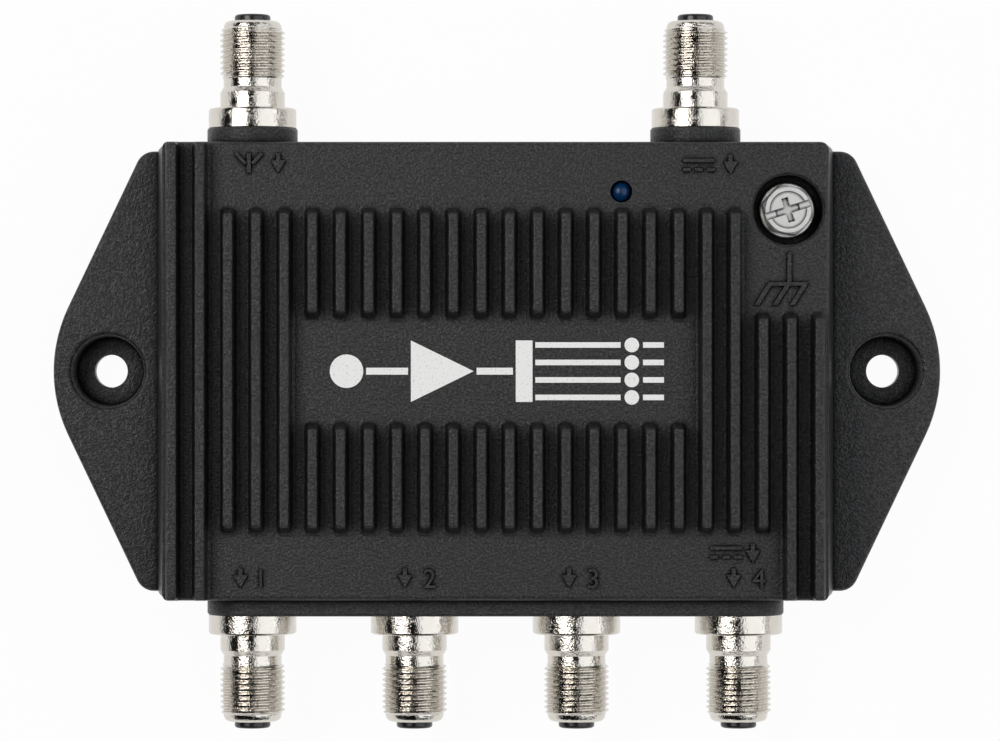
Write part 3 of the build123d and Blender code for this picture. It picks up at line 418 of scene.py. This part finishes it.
def socket_rows():
    """Rings of the body from its back bore over the outside to its front bore: station and radii."""
    foot_rise, foot_reach = BODY_FOOT
    outside = [
        (REAR_BORE_RADIUS, SHANK_END),
        (SHANK_RADIUS, SHANK_END),
        (SHANK_RADIUS, 0),
        (FLANGE_RADIUS, 0),
        *((FLANGE_RADIUS - drop, FLANGE_END - back) for drop, back in FLANGE_EDGE),
        (BODY_RADIUS + foot_rise, FLANGE_END),
        (BODY_RADIUS, FLANGE_END + foot_reach),
        (BODY_RADIUS, BODY_END),
        (RELIEF_RADIUS, RELIEF_START),
        (RELIEF_RADIUS, THREAD_START),
    ]
    rows = [(station, [radius] * ROUND_STEPS) for radius, station in outside]
    count = int((THREAD_END - THREAD_START) / THREAD_PITCH * THREAD_ROWS)
    for row in range(count + 1):
        station = THREAD_START + (THREAD_END - THREAD_START) * row / count
        rows.append((station, [thread_radius(station, step / ROUND_STEPS) for step in range(ROUND_STEPS)]))
    for step in range(TIP_STEPS + 1):
        angle = pi / 2 * step / TIP_STEPS
        radius = TIP_RADIUS - TIP_ROUND * (1 - cos(angle))
        rows.append((METAL_END - TIP_ROUND * (1 - sin(angle)), [radius] * ROUND_STEPS))
    bore = [(NOSE_BORE_RADIUS, METAL_END), (NOSE_BORE_RADIUS, BORE_STEP), (REAR_BORE_RADIUS, BORE_STEP)]
    rows += [(station, [radius] * ROUND_STEPS) for radius, station in bore]
    return rows


def threaded_socket(port):
    """One socket's body in place of its node."""
    low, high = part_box(port + "_socket")
    outwards = 1 if low.y + high.y > 0 else -1
    end = high.y if outwards > 0 else low.y
    centre = (low + high) / 2
    mesh = bmesh.new()
    rings = []
    for station, radii in socket_rows():
        along = end + outwards * (station - METAL_END) * MM
        ring = []
        for step, radius in enumerate(radii):
            angle = 2 * pi * step / ROUND_STEPS
            across, up = radius * MM * cos(angle), -outwards * radius * MM * sin(angle)
            ring.append(mesh.verts.new((centre.x + across, along, centre.z + up)))
        rings.append(ring)
    for this, following in zip(rings, rings[1:] + rings[:1]):
        for step in range(ROUND_STEPS):
            after = (step + 1) % ROUND_STEPS
            mesh.faces.new((this[step], this[after], following[after], following[step]))
    bmesh.ops.recalc_face_normals(mesh, faces=mesh.faces)
    data = bpy.data.meshes.new(port + "_socket_body")
    mesh.to_mesh(data)
    mesh.free()
    data.polygons.foreach_set("use_smooth", [True] * len(data.polygons))
    data.set_sharp_from_angle(angle=SHARP_ANGLE)
    data.materials.append(materials["socket_nickel"])
    piece = bpy.data.objects.new(port + "_socket_body", data)
    bpy.context.scene.collection.objects.link(piece)
    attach(piece, "housing")
    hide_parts(port + "_socket")


for port in PORTS:
    threaded_socket(port)


# Raised marks and the print on the casting's face, drawn in millimetres

SOFTEN_ANGLE = radians(50)
STROKE = 0.6
THIN_STROKE = 0.55
ARROW_HEAD = 1.9
ARROW_BARB = 0.15
NUMERAL_HEIGHT_SHARE = 0.729


def plate(name, outlines, rise, material, edge=MARK_EDGE):
    """Flat plates on the face, one for each outline, with a softened upper edge."""
    mesh = bmesh.new()
    for points in outlines:
        low = [mesh.verts.new((x * MM, y * MM, (FACE_Z - rise) * MM)) for x, y in points]
        grown = bmesh.ops.extrude_face_region(mesh, geom=[mesh.faces.new(low)])
        top = [v for v in grown["geom"] if isinstance(v, bmesh.types.BMVert)]
        bmesh.ops.translate(mesh, vec=(0, 0, 2 * rise * MM), verts=top)
    bmesh.ops.recalc_face_normals(mesh, faces=mesh.faces)
    data = bpy.data.meshes.new(name)
    mesh.to_mesh(data)
    mesh.free()
    finish_piece(name, data, material, edge)


def finish_piece(name, data, material, edge):
    """Puts a mark's mesh in the scene on the housing, in the coat's or print's finish."""
    piece = bpy.data.objects.new(name, data)
    bpy.context.scene.collection.objects.link(piece)
    data.materials.append(material)
    soften = piece.modifiers.new("soften", "BEVEL")
    soften.width = edge * MM
    soften.segments = 2
    soften.limit_method = "ANGLE"
    soften.angle_limit = SOFTEN_ANGLE
    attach(piece, "housing")


def bar(x0, y0, x1, y1, width):
    """The outline of a straight stroke with square ends."""
    along = Vector((x1 - x0, y1 - y0)).normalized() * width / 2
    side = (-along.y, along.x)
    return [
        (x0 - side[0], y0 - side[1]),
        (x1 - side[0], y1 - side[1]),
        (x1 + side[0], y1 + side[1]),
        (x0 + side[0], y0 + side[1]),
    ]


def arrow(x, y, length):
    """A plain arrow that points down and starts at its place."""
    neck = length - ARROW_HEAD
    half_head = ARROW_HEAD / 2 + ARROW_BARB
    shape = [(0, -STROKE / 2), (neck, -STROKE / 2), (neck, -half_head), (length, 0),
             (neck, half_head), (neck, STROKE / 2), (0, STROKE / 2)]
    return [(x + aside, y - down) for down, aside in shape]


def ground_mark():
    """The chassis ground sign: a stem, a bar and three slanted legs, as one outline."""
    leg = 0.75
    stem_x = 41.83
    stem_top = 17.04
    bar_top = 12.76
    bar_right = 44.68
    bar_left = 38.87
    foot_y = 9.38
    middle_foot = 40.11
    left_foot = 37.51
    slope = 0.63
    under = bar_top - STROKE
    feet = (bar_right - slope * (bar_top - foot_y), middle_foot, left_foot)
    stem_left, stem_right = stem_x - STROKE / 2, stem_x + STROKE / 2
    points = [(stem_left, stem_top), (stem_right, stem_top), (stem_right, bar_top), (bar_right, bar_top)]
    for foot in feet:
        if foot != feet[0]:
            points.append((foot + slope * (under - foot_y), under))
        points += [(foot, foot_y), (foot - leg, foot_y)]
        if foot != feet[-1]:
            points.append((foot - leg + slope * (under - foot_y), under))
    points += [(bar_left, bar_top), (stem_left, bar_top)]
    return points


def numeral(text, x, y, height):
    """A raised plain numeral whose lower left corner is at a place."""
    curve = bpy.data.curves.new("numeral_" + text, "FONT")
    curve.body = text
    curve.size = height * MM / NUMERAL_HEIGHT_SHARE
    curve.extrude = MARK_RISE * MM
    carrier = bpy.data.objects.new("carrier", curve)
    bpy.context.scene.collection.objects.link(carrier)
    bpy.context.view_layer.update()
    data = bpy.data.meshes.new_from_object(carrier.evaluated_get(bpy.context.evaluated_depsgraph_get()))
    bpy.data.objects.remove(carrier)
    low_x = min(v.co.x for v in data.vertices)
    for vertex in data.vertices:
        vertex.co += Vector((x * MM - low_x, y * MM, FACE_Z * MM))
    mesh = bmesh.new()
    mesh.from_mesh(data)
    bmesh.ops.remove_doubles(mesh, verts=mesh.verts, dist=0.001 * MM)
    mesh.to_mesh(data)
    mesh.free()
    finish_piece("raised_numeral_" + text, data, coat, NUMERAL_EDGE)


coat = materials["black_powder_coat"]
plate("raised_ground_mark", [ground_mark()], MARK_RISE, coat)

# Port numbers, each with a small arrow out of the box
PORT_MARK_Y = -31.0
PORT_MARK_HEIGHT = 2.85
NUMERAL_ASIDE = 1.5
ARROW_ASIDE = -1.2
for number in range(1, 5):
    low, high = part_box(f"output_{number}_socket")
    centre_x = (low.x + high.x) / 2 / MM
    numeral(str(number), centre_x + NUMERAL_ASIDE, PORT_MARK_Y, PORT_MARK_HEIGHT)
    out = arrow(centre_x + ARROW_ASIDE, PORT_MARK_Y + PORT_MARK_HEIGHT, PORT_MARK_HEIGHT)
    plate(f"raised_output_arrow_{number}", [out], MARK_RISE, coat)

# The aerial's sign, a mast with two slanted arms, and an arrow into the box
TOP_MARK_Y = 28.3
TOP_MARK_HEIGHT = 2.9
MAST_ARM_FOOT = (0.45, 1.3)
MAST_ARM_REACH = 1.9
AERIAL_ARROW_ASIDE = 4.2
low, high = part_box("aerial_in_socket")
aerial_x = (low.x + high.x) / 2 / MM
mark_top = TOP_MARK_Y + TOP_MARK_HEIGHT
mast = [bar(aerial_x, TOP_MARK_Y, aerial_x, mark_top, STROKE)]
for side in (-1, 1):
    foot_x = aerial_x + side * MAST_ARM_FOOT[0]
    arm_x = aerial_x + side * MAST_ARM_REACH
    mast.append(bar(foot_x, TOP_MARK_Y + MAST_ARM_FOOT[1], arm_x, mark_top, THIN_STROKE))
plate("raised_aerial_mark", mast, MARK_RISE, coat)
inwards = arrow(aerial_x + AERIAL_ARROW_ASIDE, mark_top, TOP_MARK_HEIGHT)
plate("raised_input_arrow", [inwards], MARK_RISE, coat)


def direct_current(name, x, y):
    """The direct current sign: a line over three dashes, with gaps half as long as a dash."""
    width = 4.6
    line_rise = 1.9
    dash_rise = 0.6
    line_y, dash_y = y + line_rise, y + dash_rise
    dash = width / 4
    step = dash * 1.5
    shapes = [bar(x, line_y, x + width, line_y, THIN_STROKE)]
    for i in range(3):
        shapes.append(bar(x + i * step, dash_y, x + i * step + dash, dash_y, THIN_STROKE))
    plate(name, shapes, MARK_RISE, coat)


# Direct current signs with arrows into the box: places of the sign and of the arrow
POWER_MARKS = {"top": ((26.6, 28.2), (33.4, 31.0)), "low": ((30.5, -27.2), (36.6, -24.6))}
for where, (sign_place, arrow_place) in POWER_MARKS.items():
    direct_current("raised_power_mark_" + where, *sign_place)
    plate("raised_power_arrow_" + where, [arrow(*arrow_place, TOP_MARK_HEIGHT)], MARK_RISE, coat)


# White print: a block diagram of one input, an amplifier and four outputs

def disc(x, y, radius, steps):
    """A disc's outline."""
    turns = [2 * pi * i / steps for i in range(steps)]
    return [(x + radius * cos(turn), y + radius * sin(turn)) for turn in turns]


def diagram():
    """The outlines of the printed block diagram, from left to right."""
    left = -23.9
    gap = 0.4
    line = 1.0
    branch_line = line * 0.8
    input_radius = 2.4
    input_link = 6.0
    amplifier_length = 9.0
    half_height = 4.4
    amplifier_link = 5.2
    splitter_width = 2.4
    branch_pitch = 2.5
    branch_length = 12.2
    dot_radius = 1.05
    dot_gap = 0.55
    tail_length = 3.0
    shapes = [disc(left + input_radius, 0, input_radius, steps=48)]
    x = left + 2 * input_radius + gap
    shapes.append(bar(x, 0, x + input_link, 0, line))
    x += input_link + gap
    shapes.append([(x, -half_height), (x + amplifier_length, 0), (x, half_height)])
    x += amplifier_length + gap
    shapes.append(bar(x, 0, x + amplifier_link, 0, line))
    x += amplifier_link + gap
    end = x + splitter_width
    shapes.append([(x, -half_height), (end, -half_height), (end, half_height), (x, half_height)])
    branch_x = end + gap
    dot_x = branch_x + branch_length + dot_gap + dot_radius
    tail_x = dot_x + dot_radius + dot_gap
    for i in range(4):
        y = (i - 1.5) * branch_pitch
        shapes.append(bar(branch_x, y, branch_x + branch_length, y, branch_line))
        shapes.append(disc(dot_x, y, dot_radius, steps=28))
        shapes.append(bar(tail_x, y, tail_x + tail_length, y, branch_line))
    return shapes


plate("printed_diagram", diagram(), PRINT_RISE, white_print(), PRINT_EDGE)


# Stage: floor, lights, dark cards and camera

def area_light(name, degrees, centre_y, length, strength, colour):
    """A long soft light seen from the object between two angles from straight up."""
    low, high = (radians(d) for d in degrees)
    middle = (low + high) / 2
    width = 2 * LIGHT_DISTANCE * tan((high - low) / 2)
    data = bpy.data.lights.new(name, "AREA")
    data.shape = "RECTANGLE"
    data.size = width
    data.size_y = length
    data.energy = strength * pi * width * length
    data.color = colour
    light = bpy.data.objects.new(name, data)
    light.location = (LIGHT_DISTANCE * sin(middle), centre_y, LIGHT_DISTANCE * cos(middle))
    light.rotation_euler = (0, middle, 0)
    light.visible_camera = False
    bpy.context.scene.collection.objects.link(light)


def level_corners(left, right, half, z):
    """The corners of a level rectangle, going round."""
    return [(left, -half, z), (right, -half, z), (right, half, z), (left, half, z)]


def dark_card(name, corners):
    """A black card that metal reflects, unseen by the camera."""
    data = bpy.data.meshes.new(name)
    data.from_pydata(corners, [], [(0, 1, 2, 3)])
    card = bpy.data.objects.new(name, data)
    bpy.context.scene.collection.objects.link(card)
    s = Shader(name)
    s.set(Base_Color=(0.005, 0.005, 0.005, 1), Roughness=1.0)
    data.materials.append(s.material)
    card.visible_camera = False
    return card


def shown_white(tree, surface, white, share):
    """Mixes a surface with white for what camera, metal and glass see."""
    rays = tree.nodes.new("ShaderNodeLightPath")
    seen = rays.outputs["Is Camera Ray"]
    for kind in ("Is Glossy Ray", "Is Transmission Ray"):
        more = tree.nodes.new("ShaderNodeMath")
        more.operation = "MAXIMUM"
        tree.links.new(seen, more.inputs[0])
        tree.links.new(rays.outputs[kind], more.inputs[1])
        seen = more.outputs[0]
    scaled = tree.nodes.new("ShaderNodeMath")
    scaled.operation = "MULTIPLY"
    tree.links.new(seen, scaled.inputs[0])
    scaled.inputs[1].default_value = share
    mix = tree.nodes.new("ShaderNodeMixShader")
    tree.links.new(scaled.outputs[0], mix.inputs[0])
    tree.links.new(surface, mix.inputs[1])
    tree.links.new(white, mix.inputs[2])
    return mix.outputs[0]


def floor():
    """A wide pale floor that shows white and keeps a faint shadow."""
    data = bpy.data.meshes.new("floor")
    corners = level_corners(-FLOOR_HALF, FLOOR_HALF, FLOOR_HALF, -FLOOR_DROP * MM)
    data.from_pydata(corners, [], [(0, 1, 2, 3)])
    plane = bpy.data.objects.new("floor", data)
    bpy.context.scene.collection.objects.link(plane)
    s = Shader("floor_paint")
    s.set(Base_Color=(0.8, 0.8, 0.8, 1), Roughness=0.9)
    white = s.add("Emission", Color=(1, 1, 1, 1), Strength=1.0).outputs[0]
    shown = shown_white(s.tree, s.principled.outputs[0], white, FLOOR_WHITE_SHARE)
    s.tree.links.new(shown, s.output.inputs["Surface"])
    data.materials.append(s.material)


def world():
    """A soft even surrounding, shown as white."""
    made = bpy.data.worlds.new("studio")
    bpy.context.scene.world = made
    made.use_nodes = True
    tree = made.node_tree
    soft = tree.nodes["Background"]
    soft.inputs["Color"].default_value = WORLD_COLOUR
    soft.inputs["Strength"].default_value = WORLD_STRENGTH
    white = tree.nodes.new("ShaderNodeBackground")
    white.inputs["Color"].default_value = (1, 1, 1, 1)
    white.inputs["Strength"].default_value = 1.0
    shown = shown_white(tree, soft.outputs[0], white.outputs[0], 1.0)
    tree.links.new(shown, tree.nodes["World Output"].inputs["Surface"])


def camera():
    """The photograph's camera, straight above the object."""
    data = bpy.data.cameras.new("camera")
    data.lens = CAMERA_LENS
    data.sensor_width = CAMERA_SENSOR
    data.clip_start, data.clip_end = CAMERA_RANGE
    made = bpy.data.objects.new("camera", data)
    made.location = CAMERA_PLACE
    bpy.context.scene.collection.objects.link(made)
    bpy.context.scene.camera = made


def cards():
    """A dark ceiling, a dark card over the camera and one low at each side."""
    wide, far = CEILING_HALF, CARD_HALF_LENGTH
    ceiling = dark_card("dark_ceiling", level_corners(-wide, wide, wide, CEILING_Z))
    ceiling.visible_diffuse = False
    left, right = (OVER_CARD_Z * tan(radians(degrees)) for degrees in OVER_CARD_DEG)
    dark_card("dark_card_over", level_corners(left, right, far, OVER_CARD_Z))
    for name, side, angles in (("left", -1, LEFT_CARD_DEG), ("right", 1, RIGHT_CARD_DEG)):
        x = side * SIDE_CARD_X
        top, bottom = (SIDE_CARD_X / tan(radians(degrees)) for degrees in angles)
        dark_card("dark_card_" + name, [(x, -far, bottom), (x, far, bottom), (x, far, top), (x, -far, top)])


floor()
world()
camera()
cards()
area_light("light_left", LEFT_LIGHT_DEG, centre_y=0.3, length=0.8, strength=5.0, colour=(1.0, 0.98, 0.96))
area_light("light_right", RIGHT_LIGHT_DEG, centre_y=0.1, length=1.3, strength=1.4, colour=(0.96, 0.98, 1.0))

bpy.context.scene.view_settings.view_transform = "Standard"

bpy.context.view_layer.update()
